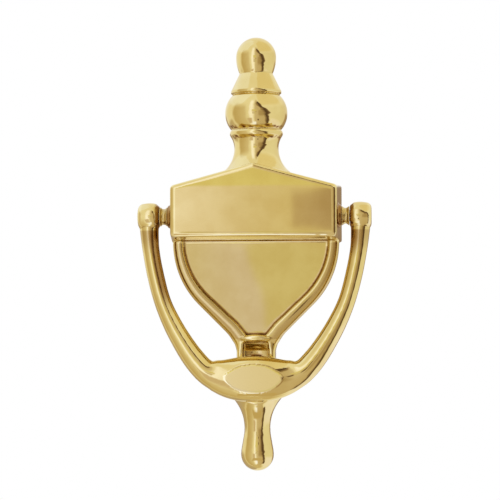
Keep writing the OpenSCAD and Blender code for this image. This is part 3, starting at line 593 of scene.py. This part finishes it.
# The collars: waisted brass rings between the lintel's sides and the ears of the bail.
# They are turned from bar, sit on the pivot pins against the lintel, and keep the bail in the middle.
COLLAR_R, WAIST_R, COLLAR_BORE, COLLAR_BAND, COLLAR_EDGE = 4.2, 3.5, 2.55, 0.45, 0.2
collar_brass = turned_brass("collar_brass", PIVOT, 0)
for side, way in (("left", -1), ("right", 1)):
    low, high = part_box(f"{side}_collar")
    start, end = sorted((abs(low[0]) / MM, abs(high[0]) / MM))
    length, fall = end - start, COLLAR_R - WAIST_R
    waist_r = ((length / 2 - COLLAR_BAND) ** 2 + fall ** 2) / (2 * fall)
    half = math.degrees(math.asin((length / 2 - COLLAR_BAND) / waist_r))
    collar = turned(f"{side}_collar_turned", [
        (COLLAR_BORE, 0), *arc((COLLAR_R - COLLAR_EDGE, COLLAR_EDGE), COLLAR_EDGE, -90, 0, 6),
        *arc((WAIST_R + waist_r, length / 2), waist_r, 180 + half, 180 - half, 24),
        *arc((COLLAR_R - COLLAR_EDGE, length - COLLAR_EDGE), COLLAR_EDGE, 0, 90, 6),
        (COLLAR_BORE, length), (COLLAR_BORE, 0)], collar_brass, 120)
    outward = Matrix.Rotation(math.radians(90 * way), 4, "Y")
    collar.data.transform(Matrix.Translation(Vector((way * start, *PIVOT[1:])) * MM) @ outward)
    collar.data.shade_smooth()
    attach(collar, "plate")
    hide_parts(f"{side}_collar")


# The pivot pins and their washers: bright steel, put in from inside the hollow lintel.
# The pins are turned, with heads that bear on the washers, and show the lathe's rings and some dull spots.
def bright_steel(name):
    material, wire = new_material(name)
    place = wire.add("ShaderNodeTexCoord", out="Object")
    streaks = wire.vectors("MULTIPLY", place, (6000.0, 300.0, 300.0)).noise(1.0, 3.0, 0.6)
    spots = place.noise(700.0, 3.0, 0.6)
    colour = wire.mixed(spots.spread(0.55, 0.75), (0.56, 0.56, 0.57, 1), (0.33, 0.30, 0.27, 1))
    marks = wire.add("ShaderNodeBump", {}, {"Strength": 1.0, "Distance": 0.000002, "Height": streaks})
    surface = wire.add("ShaderNodeBsdfPrincipled", {}, {
        "Base Color": colour, "Metallic": 1.0, "Roughness": 0.24 + 0.16 * spots, "Normal": marks})
    wire.add("ShaderNodeOutputMaterial", {}, {"Surface": surface})
    return material


pin_steel = bright_steel("pin_steel")
for side in ("left", "right"):
    dress(f"{side}_pivot_pin", pin_steel)
    dress(f"{side}_thrust_washer", pin_steel)

# The bail: ears, two round arms and the hammer in one brass casting, polished all over.
# The arms thicken and turn in to the hammer, whose front is ground to an oval flat; the ears are
# bored for the pins and drilled from behind for the grub screws.
BAIL_VOXEL = 0.32
BAIL_SOFTENING = 3
BAIL_STEPS, BAIL_SIDES = 8, 72
ARM_X, BAIL_L, LEAN = 46.9, 71.6, 4.0043
EAR_X, EAR_LEN, EAR_R, EAR_EDGE, EAR_CHAMFER, EAR_FALL = 42.15, 9.5, 6.2, 2.4, 1.7, 0.3
FLAT_D, FLAT_EDGE, FLAT_TILT, FLAT_HALF_W, FLAT_HALF_H = 5.4, 0.06, 0.026, 13.0, 8.0
BUTTON_SEAT, BUTTON_SHANK, SEAT_R, SHANK_R = 6.2, 4.02, 4.8, 2.52
PIN_BORE_R, PIN_REACH, GRUB_BORE_R, GRUB_REACH = 2.52, 7.0, 2.02, 12.0
# Share of the half span, share of the length, half thickness, half depth.
BAIL_LINE = [(1, 0, 4.5, 4.5), (0.995, 0.099, 4.125, 4.125), (0.978, 0.211, 3.75, 3.75),
             (0.933, 0.365, 3.75, 3.75), (0.865, 0.525, 3.75, 3.75), (0.771, 0.663, 4.175, 4.025),
             (0.665, 0.783, 4.6, 4.3), (0.564, 0.878, 5.0, 4.55), (0.46, 0.95, 5.4, 4.8),
             (0.358, 0.978, 7.0, 4.9), (0.245, 0.994, 8.6, 5.55), (0.125, 1, 9.7, 6.6), (0, 1, 9.95, 7.0)]


def bail_path():
    """Points down the right arm, through the hammer and up the left arm, with half thickness and depth."""
    right = [np.array([x * ARM_X, -z * BAIL_L, t, d]) for x, z, t, d in BAIL_LINE]
    line = right + [p * np.array([-1, 1, 1, 1]) for p in right[-2::-1]]
    held = [2 * line[0] - line[1], *line, 2 * line[-1] - line[-2]]
    path = []
    for a, b, c, d in zip(held, held[1:], held[2:], held[3:]):
        for t in np.arange(BAIL_STEPS) / BAIL_STEPS:
            path.append(0.5 * (2 * b + (c - a) * t + (2 * a - 5 * b + 4 * c - d) * t ** 2
                               + (3 * b - a - 3 * c + d) * t ** 3))
    return np.array(path + [line[-1]])


def sweeping_tree():
    """Sweeps an oval along a line in X and Z, and grinds its front flat at a distance from the line."""
    tree, given, wire = new_tree("swept bail", [
        ("Path", "NodeSocketGeometry"), ("Sides", "NodeSocketInt"), ("Flat distance", "NodeSocketFloat"),
        ("Flat edge", "NodeSocketFloat"), ("Metal", "NodeSocketMaterial")])
    sheet, angle, row = ring_sheet(wire, given["Path"], given["Sides"])

    def sampled(kind, value, at):
        return wire.add("GeometryNodeSampleIndex", {"data_type": kind, "domain": "POINT", "clamp": True},
                        {"Geometry": given["Path"], "Value": value, "Index": at})

    def named(name):
        return wire.add("GeometryNodeInputNamedAttribute", {"data_type": "FLOAT"}, {"Name": name})

    spot = wire.add("GeometryNodeInputPosition")
    middle = sampled("FLOAT_VECTOR", spot, row)
    ahead = wire.vectors("NORMALIZE", wire.vectors(
        "SUBTRACT", sampled("FLOAT_VECTOR", spot, row + 1), sampled("FLOAT_VECTOR", spot, row - 1)))
    wide = sampled("FLOAT", named("thick"), row) * wire.maths("COSINE", angle)
    deep = sampled("FLOAT", named("deep"), row) * wire.maths("SINE", angle)
    aside = wire.vectors("CROSS_PRODUCT", ahead, (0.0, 1.0, 0.0))
    edge = wire.add("ShaderNodeVectorMath", {"operation": "SCALE"}, {0: aside, "Scale": wide})
    ground = wire.maths("SMOOTH_MAX", deep, 0.0 - given["Flat distance"], given["Flat edge"])
    lift = wire.add("ShaderNodeCombineXYZ", {}, {1: ground})
    ring = wire.vectors("ADD", wire.vectors("ADD", middle, edge), lift)
    close_form(wire, sheet, ring, given["Metal"])
    return tree


def close_ends(made):
    """Closes the open ends of a swept form and turns its faces outwards."""
    shell = bmesh.new()
    shell.from_mesh(made.data)
    bmesh.ops.holes_fill(shell, edges=[e for e in shell.edges if e.is_boundary])
    bmesh.ops.recalc_face_normals(shell, faces=shell.faces)
    shell.to_mesh(made.data)
    shell.free()


def combined(made, other, operation):
    """Joins another solid to this one, or cuts it away, and removes it."""
    change = made.modifiers.new("change", "BOOLEAN")
    change.operation = operation
    change.solver = "EXACT"
    change.object = other
    settle(made)
    bpy.data.objects.remove(other)


def drill(radius, start, end):
    """A round cutter between two points in millimetres."""
    start, end = Vector(start) * MM, Vector(end) * MM
    way = end - start
    turn = way.to_track_quat("Z", "Y").to_matrix().to_4x4()
    cutter = mesh_object("cutter", [], [])
    shell = bmesh.new()
    bmesh.ops.create_cone(shell, cap_ends=True, segments=64, radius1=radius * MM, radius2=radius * MM,
                          depth=way.length, matrix=Matrix.Translation((start + end) / 2) @ turn)
    shell.to_mesh(cutter.data)
    shell.free()
    return cutter


bail_brass = polished_brass("bail_brass")
path = bail_path()
bail = mesh_object("bail_casting", [(x * MM, 0.0, z * MM) for x, z, _, _ in path], [],
                   [(i, i + 1) for i in range(len(path) - 1)])
mark(bail, "thick", path[:, 2] * MM)
mark(bail, "deep", path[:, 3] * MM)
run_tree(bail, sweeping_tree(), {"Sides": BAIL_SIDES, "Flat distance": FLAT_D * MM,
                                 "Flat edge": FLAT_EDGE * MM, "Metal": bail_brass})
close_ends(bail)
hung = Matrix.Translation(Vector(PIVOT) * MM) @ Matrix.Rotation(-math.radians(LEAN), 4, "X")
bail.data.transform(hung)
barrel_half = (EAR_LEN - EAR_EDGE - EAR_CHAMFER) / 2
barrel_r = (barrel_half ** 2 + EAR_FALL ** 2) / (2 * EAR_FALL)
barrel_turn = math.degrees(math.asin(barrel_half / barrel_r))
barrel_c = (EAR_R - barrel_r, EAR_CHAMFER + barrel_half)
edge_c = (EAR_R - EAR_FALL - EAR_EDGE, EAR_LEN - EAR_EDGE)
ear_section = [(ON_AXIS, 0), (EAR_R - EAR_CHAMFER, 0),
               *arc(barrel_c, barrel_r, -barrel_turn, barrel_turn, 16),
               *arc(edge_c, EAR_EDGE, barrel_turn, 90, 16), (ON_AXIS, EAR_LEN)]
for side in (1, -1):
    ear = turned("ear", ear_section, bail_brass, 128)
    outward = Matrix.Rotation(math.radians(90 * side), 4, "Y")
    ear.data.transform(Matrix.Translation(Vector((side * EAR_X, *PIVOT[1:])) * MM) @ outward)
    combined(bail, ear, "UNION")
for side in (1, -1):
    combined(bail, drill(PIN_BORE_R, (side * (EAR_X - 1), *PIVOT[1:]),
                         (side * (EAR_X + PIN_REACH), *PIVOT[1:])), "DIFFERENCE")
    grub_x = side * (EAR_X + PIN_REACH / 2)
    combined(bail, drill(GRUB_BORE_R, (grub_x, *PIVOT[1:]), (grub_x, PIVOT[1] + GRUB_REACH, PIVOT[2])),
             "DIFFERENCE")
for radius, front, back in ((SEAT_R, BUTTON_SEAT, 14.0), (SHANK_R, BUTTON_SEAT - BUTTON_SHANK, 7.0)):
    ends = [hung @ (Vector((0, y, -BAIL_L)) * MM) / MM for y in (front, back)]
    combined(bail, drill(radius, *ends), "DIFFERENCE")
swept = bail
bail = skinned("bail_skin", swept, BAIL_VOXEL)
bpy.data.objects.remove(swept)
bail.name = "bail_casting"

# The mop rounds the edges and leaves its waves; the hammer's flat is ground last, leaning a little.
skin = softened(bail, points_of(bail), BAIL_SOFTENING)
move_points(bail, skin)
facing = normals_of(bail)
own = (skin - np.array(PIVOT)) @ np.array(Matrix.Rotation(-math.radians(LEAN), 3, "X"))
flat = ((own[:, 1] < 0.1 - FLAT_D) & (np.abs(own[:, 0]) < FLAT_HALF_W)
        & (np.abs(own[:, 2] + BAIL_L) < FLAT_HALF_H))
skin[:, 1] += flat * FLAT_TILT * (own[:, 2] + BAIL_L)
skin = skin + facing * (ROUND_WAVE * ripple(skin, (2.6, 4.0, 10.0), 21) * ~flat)[:, None]
move_points(bail, skin)

# Painted shade on the ears' inner faces and the arms' roots, and painted dark reflections on the left arm's
# inside and one edge of the flat.
aside, below = np.abs(skin[:, 0]), PIVOT[2] - skin[:, 2]
inner = (below < 8) * (1 - smooth_step(aside, EAR_X + 0.4, EAR_X + 3.2))
root = smooth_step(below, 5.0, 6.6) * (1 - smooth_step(below, 8, 26))
root *= 0.5 + 0.3 * (1 - smooth_step(aside, ARM_X - 4, ARM_X + 1))
# The left arm's inside is darkened as a painted dark reflection of the bowl beside it.
painted_arm_reflection = (skin[:, 0] < 0) * smooth_step(facing[:, 0], -0.15, 0.3) * smooth_step(below, 4.0, 8.0)
painted_arm_reflection *= 1 - smooth_step(below, 30, 52)
# One edge of the hammer's flat is darkened as a painted dark reflection.
rim = feathered(bail, flat, 2)
rim = 4 * rim * (1 - rim) * smooth_step(own[:, 0] + 2.2 * (own[:, 2] + BAIL_L), -4.0, 4.0)
# The whole flat takes the painted highlight that sharp edges get.
relief = np.where(flat, -0.75, relief_of(bail, skin, 20, 0.16))
# These painted shades and reflections are carried by the "relief" attribute, which the brass darkens.
painted_shade = np.maximum.reduce([0.8 * inner, root, 0.72 * painted_arm_reflection, 0.7 * rim])
mark(bail, "relief", np.where(painted_shade > 0.02, np.maximum(relief, painted_shade), relief))
mark(bail, "sand", np.zeros(len(skin)))
finish_skin(bail, bail_brass)
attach(bail, "knocker")
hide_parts("knocker_bail")


# The grub screws: black steel set screws with hexagon sockets, run in from the back of each ear
# until they bear on the pin. Their black oxide is worn grey in patches.
def black_steel(name):
    material, wire = new_material(name)
    place = wire.add("ShaderNodeTexCoord", out="Object")
    wear = place.noise(1500.0, 3.0, 0.6)
    colour = wire.mixed(wear.spread(0.5, 0.75), (0.022, 0.022, 0.024, 1), (0.10, 0.10, 0.11, 1))
    marks = wire.add("ShaderNodeBump", {}, {"Strength": 1.0, "Distance": 0.000006, "Height": wear})
    surface = wire.add("ShaderNodeBsdfPrincipled", {}, {
        "Base Color": colour, "Metallic": 0.9, "Roughness": 0.34 + 0.2 * wear, "Normal": marks})
    wire.add("ShaderNodeOutputMaterial", {}, {"Surface": surface})
    return material


oxide_black = black_steel("oxide_black")
for side in ("left", "right"):
    dress(f"{side}_grub_screw", oxide_black)

# The floor: a pale sheet under the hanging knocker that takes its soft shadow.
# It ends just behind the knocker, so that the view from the front has a plain white ground.
FLOOR_Z, FLOOR_REACH, FLOOR_BACK = -0.13, 1.2, 0.2
corners = ((-FLOOR_REACH, -FLOOR_REACH), (FLOOR_REACH, -FLOOR_REACH),
           (FLOOR_REACH, FLOOR_BACK), (-FLOOR_REACH, FLOOR_BACK))
floor = mesh_object("floor", [(x, y, FLOOR_Z) for x, y in corners], [(0, 1, 2, 3)])
floor_paint, wire = new_material("floor_paint")
tone = wire.add("ShaderNodeTexCoord", out="Object").noise(40.0, 2.0)
paint = wire.mixed(tone, (0.86, 0.86, 0.85, 1), (0.89, 0.89, 0.88, 1))
wire.add("ShaderNodeOutputMaterial", {}, {
    "Surface": wire.add("ShaderNodeBsdfPrincipled", {}, {"Base Color": paint, "Roughness": 0.8})})
floor.data.materials.append(floor_paint)
floor.visible_glossy = False
floor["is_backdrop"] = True

# The studio: white all round, and large coloured cards out of sight that the polished brass mirrors.
# Each card is a patch of a wide shell about the knocker, from one bearing and height to another.
CARD_CENTRE = np.array([0.0, -0.012, 0.02])
world = bpy.data.worlds.new("studio")
bpy.context.scene.world = world
world.use_nodes = True
world.node_tree.nodes.clear()
wire = Wire(world.node_tree)
ray = wire.add("ShaderNodeLightPath", out="Is Camera Ray")
mirrored = wire.maths("MAXIMUM", ray.output("Is Glossy Ray"), ray.output("Is Transmission Ray"))
shown = wire.maths("MAXIMUM", ray, mirrored)
fill = wire.add("ShaderNodeBackground", {}, {"Color": (1, 1, 1, 1), "Strength": 0.7})
white = wire.add("ShaderNodeBackground", {}, {"Color": (1, 1, 1, 1), "Strength": 1.0})
wire.add("ShaderNodeOutputWorld", {}, {
    "Surface": wire.add("ShaderNodeMixShader", {}, {0: shown, 1: fill, 2: white})})

card_paint, wire = new_material("card_paint")
tint = wire.add("ShaderNodeAttribute", {"attribute_name": "tint"}, out="Color")
cover = wire.add("ShaderNodeAttribute", {"attribute_name": "tint"}, out="Alpha")
glow = wire.add("ShaderNodeEmission", {}, {"Color": tint, "Strength": 1.0})
clear = wire.add("ShaderNodeBsdfTransparent")
wire.add("ShaderNodeOutputMaterial", {}, {
    "Surface": wire.add("ShaderNodeMixShader", {}, {0: cover, 1: clear, 2: glow})})


def card(name, reach, rows, tints, soft=(6.0, 6.0, 6.0), ragged=0.0):
    """A patch seen only in reflections. A row gives a height and the bearings of its two edges, in degrees.
    The tints run from left to right. The sides, the foot and the top fade out over the degrees of soft,
    and the sides stray by about the degrees of ragged."""
    across, up = 60, 120
    draw = np.random.default_rng(31)
    levels, lefts, rights = np.array(rows, float).T
    heights = np.linspace(levels[0], levels[-1], up + 1)
    torn = np.zeros((2, up + 1))
    for gap, weight in ((11.0, 1.0), (4.0, 0.5)):
        knots = np.arange(levels[0], levels[-1] + 2 * gap, gap)
        torn += [weight * np.interp(heights, knots, draw.uniform(-1, 1, len(knots))) for _ in range(2)]
    left = np.interp(heights, levels, lefts) + ragged * torn[0]
    span = np.interp(heights, levels, rights) + ragged * torn[1] - left
    share = np.linspace(0, 1, across + 1)
    way = np.radians(left[:, None] + span[:, None] * share)
    rise = np.radians(heights)[:, None] + 0 * way
    points = CARD_CENTRE + reach * np.stack(
        [np.sin(way) * np.cos(rise), -np.cos(way) * np.cos(rise), np.sin(rise)], axis=-1)
    wide = across + 1
    faces = [(j * wide + i, j * wide + i + 1, (j + 1) * wide + i + 1, (j + 1) * wide + i)
             for j in range(up) for i in range(across)]
    stops = np.linspace(0, 1, len(tints))
    sheet = np.ones((up + 1, wide, 4))
    for k in range(3):
        sheet[:, :, k] = np.interp(share, stops, [t[k] for t in tints])
    gaps = (span[:, None] * np.minimum(share, 1 - share), (heights - levels[0])[:, None] + 0 * way,
            (levels[-1] - heights)[:, None] + 0 * way)
    for gap, width in zip(gaps, soft):
        if width:
            sheet[:, :, 3] *= smooth_step(gap, 0.0, width)
    made = mesh_object(name, points.reshape(-1, 3), faces)
    made.data.attributes.new("tint", "FLOAT_COLOR", "POINT").data.foreach_set(
        "color", sheet.astype(np.float32).ravel())
    made.data.materials.append(card_paint)
    made.visible_camera = False
    made.visible_diffuse = False
    made.visible_shadow = False
    made.visible_transmission = False
    made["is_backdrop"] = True


card("left_glow", 0.98, [(22, -155, -92), (42, -155, -46), (85, -155, -36)],
     [(1.06, 1.13, 1.4)] * 2, (12, 10, 10))
card("left_low", 0.975, [(-80, -178, -95), (-4, -165, -95)],
     [(0.5, 0.41, 0.37), (0.6, 0.52, 0.45), (0.72, 0.62, 0.48)], (14, 0, 10))
card("tan_panel", 0.97, [(-80, -106, -24), (20, -102, -28), (42, -96, -32)],
     [(0.8, 0.7, 0.52), (0.67, 0.56, 0.37), (0.72, 0.62, 0.45), (0.79, 0.71, 0.58), (0.82, 0.76, 0.68)],
     (17, 0, 24))
card("bright_strip", 0.965, [(-75, -28, -5), (60, -26, -5)],
     [(1.1, 1.12, 1.4), (1.25, 1.35, 1.95), (1.1, 1.1, 1.4)], (4, 10, 14))
card("front_tan", 0.96, [(-80, -5, 66), (-38, -5, 60), (-10, -5, 48), (0, -5, 46), (13, -5, 37),
                         (24, -5, 25), (37, -5, 15), (50, -5, 10), (62, -5, 6)],
     [(0.8, 0.73, 0.7), (0.71, 0.62, 0.52), (0.68, 0.58, 0.46), (0.63, 0.52, 0.42)], (4, 0, 14))
card("right_top", 0.955, [(26, 14, 120), (85, 0, 150)], [(0.94, 0.88, 0.7)] * 2, (12, 14, 0))
card("right_side", 0.95, [(-24, 46, 165), (30, 30, 165)],
     [(0.95, 0.94, 0.9), (0.94, 0.94, 0.9), (0.86, 0.8, 0.7)], (6, 10, 10))
card("right_low", 0.945, [(-72, 70, 150), (-14, 60, 140)], [(1.05, 1.06, 1.35)] * 2, (10, 10, 14))
card("brown_band", 0.944, [(-20, 9, 48), (15, 9, 46)],
     [(0.58, 0.47, 0.35), (0.47, 0.36, 0.23), (0.42, 0.31, 0.2)], (6, 14, 11))
card("dark_streak", 0.94, [(-64, 56, 82), (-40, 44, 70), (-20, 34, 59), (0, 32, 57), (13, 21, 46),
                           (24, 9, 31), (37, 3, 20), (52, 1, 12)],
     [(0.5, 0.4, 0.29), (0.36, 0.26, 0.18), (0.1, 0.065, 0.045), (0.16, 0.1, 0.07), (0.42, 0.32, 0.25)],
     (3, 4, 8), 5.0)
card("low_gold", 0.935, [(-89, -180, 180), (-66, -180, 180)], [(0.74, 0.64, 0.47)] * 2, (0, 0, 14))
card("low_light", 0.93, [(-69, -18, 5), (-40, -16, 4)], [(1.2, 1.35, 2.3)] * 2, (3, 5, 5))
card("left_rear", 0.93, [(-30, -178, -140), (10, -178, -140)],
     [(0.4, 0.3, 0.2), (0.55, 0.45, 0.33)], (8, 10, 6))
card("right_rear", 0.93, [(-30, 132, 178), (11, 132, 178)],
     [(0.6, 0.47, 0.33), (0.42, 0.31, 0.2), (0.35, 0.25, 0.15)], (8, 10, 6))
card("low_front", 0.3, [(-49, -38, -10), (-14, -38, -10)], [(0.76, 0.66, 0.62)] * 2, (9, 10, 6))
card("edge_shade", 0.147, [(-22, 8, 16), (-13, 8, 16)], [(0.22, 0.15, 0.1)] * 2, (2, 2, 2))
card("hammer_shade", 0.13, [(-77, -60, 60), (-62, -34, 34)], [(0.68, 0.56, 0.37)] * 2, (10, 4, 4))

# Nearer cards for the flat faces: two for the panel, two for the lintel, one for the gable.
card("panel_right", 0.905, [(-6, -11, 2.6), (2.5, -11, 2.6)],
     [(0.78, 0.74, 0.58), (0.75, 0.70, 0.50)], (1, 1, 0))
card("panel_left", 0.9, [(-6, -11.2, -3.2), (-3.1, -11.2, -3.3), (-1.7, -11.2, -3.6), (-0.7, -11.2, -4.1),
                         (0.3, -11.2, -4.4), (2.5, -11.2, -4.9)],
     [(0.75, 0.69, 0.5), (0.79, 0.74, 0.78), (0.80, 0.75, 0.95)], (0.5, 1, 0))
card("gable_face", 0.9, [(4, -13, 5), (14, -13, 5)], [(0.89, 0.86, 0.55), (0.81, 0.755, 0.45)], (1, 0, 1.5))
card("lintel_face", 0.895, [(1.6, -13.5, 5), (8.5, -13.5, 5)],
     [(1.1, 1.11, 1.42), (0.95, 0.91, 1.01), (0.84, 0.77, 0.69), (0.80, 0.72, 0.55), (0.78, 0.69, 0.5)],
     (0.5, 0, 2.5))
card("lintel_shade", 0.89, [(2.2, -0.7, 5), (5.5, -0.7, 5)],
     [(0.66, 0.55, 0.44), (0.50, 0.38, 0.29)], (0.6, 0.5, 0.5))

# The lamp: one soft box, up in front on the left, that lights the floor and casts the soft shadow there.
# The brass doesn't mirror it, only the cards and the white studio.
LAMP_PLACE, LAMP_WIDTH, LAMP_HEIGHT, LAMP_WATTS = (-0.5, -0.7, 1.0), 0.9, 0.7, 9.0
lamp = bpy.data.lights.new("soft_box", "AREA")
lamp.shape = "RECTANGLE"
lamp.size = LAMP_WIDTH
lamp.size_y = LAMP_HEIGHT
lamp.energy = LAMP_WATTS
soft_box = bpy.data.objects.new("soft_box", lamp)
bpy.context.scene.collection.objects.link(soft_box)
soft_box.location = LAMP_PLACE
soft_box.rotation_mode = "QUATERNION"
soft_box.rotation_quaternion = (Vector((0, 0, 0)) - soft_box.location).to_track_quat("-Z", "Y")
soft_box.visible_glossy = False

# The camera: a long lens almost square to the knocker, a little to its right and below its middle.
# Its bearing, height and roll are in degrees, and its lens and sensor in millimetres.
CAMERA_BEARING, CAMERA_HEIGHT, CAMERA_ROLL = 4.4, -1.11, -0.2
CAMERA_LENS, CAMERA_SENSOR, CAMERA_DISTANCE = 97.24, 36.0, 0.6
CAMERA_AIM = Vector((-0.00218, -0.01219, 0.01938))
lens = bpy.data.cameras.new("camera")
lens.lens = CAMERA_LENS
lens.sensor_width = CAMERA_SENSOR
camera = bpy.data.objects.new("camera", lens)
bpy.context.scene.collection.objects.link(camera)
bearing_turn = math.radians(CAMERA_BEARING)
height_turn = math.radians(CAMERA_HEIGHT)
back = Vector((math.sin(bearing_turn) * math.cos(height_turn),
               -math.cos(bearing_turn) * math.cos(height_turn), math.sin(height_turn)))
camera.location = CAMERA_AIM + back * CAMERA_DISTANCE
camera.rotation_mode = "QUATERNION"
roll = Matrix.Rotation(math.radians(CAMERA_ROLL), 4, "Z").to_quaternion()
camera.rotation_quaternion = (-back).to_track_quat("-Z", "Y") @ roll
bpy.context.scene.camera = camera
bpy.context.scene.view_settings.view_transform = "Standard"

low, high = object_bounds()
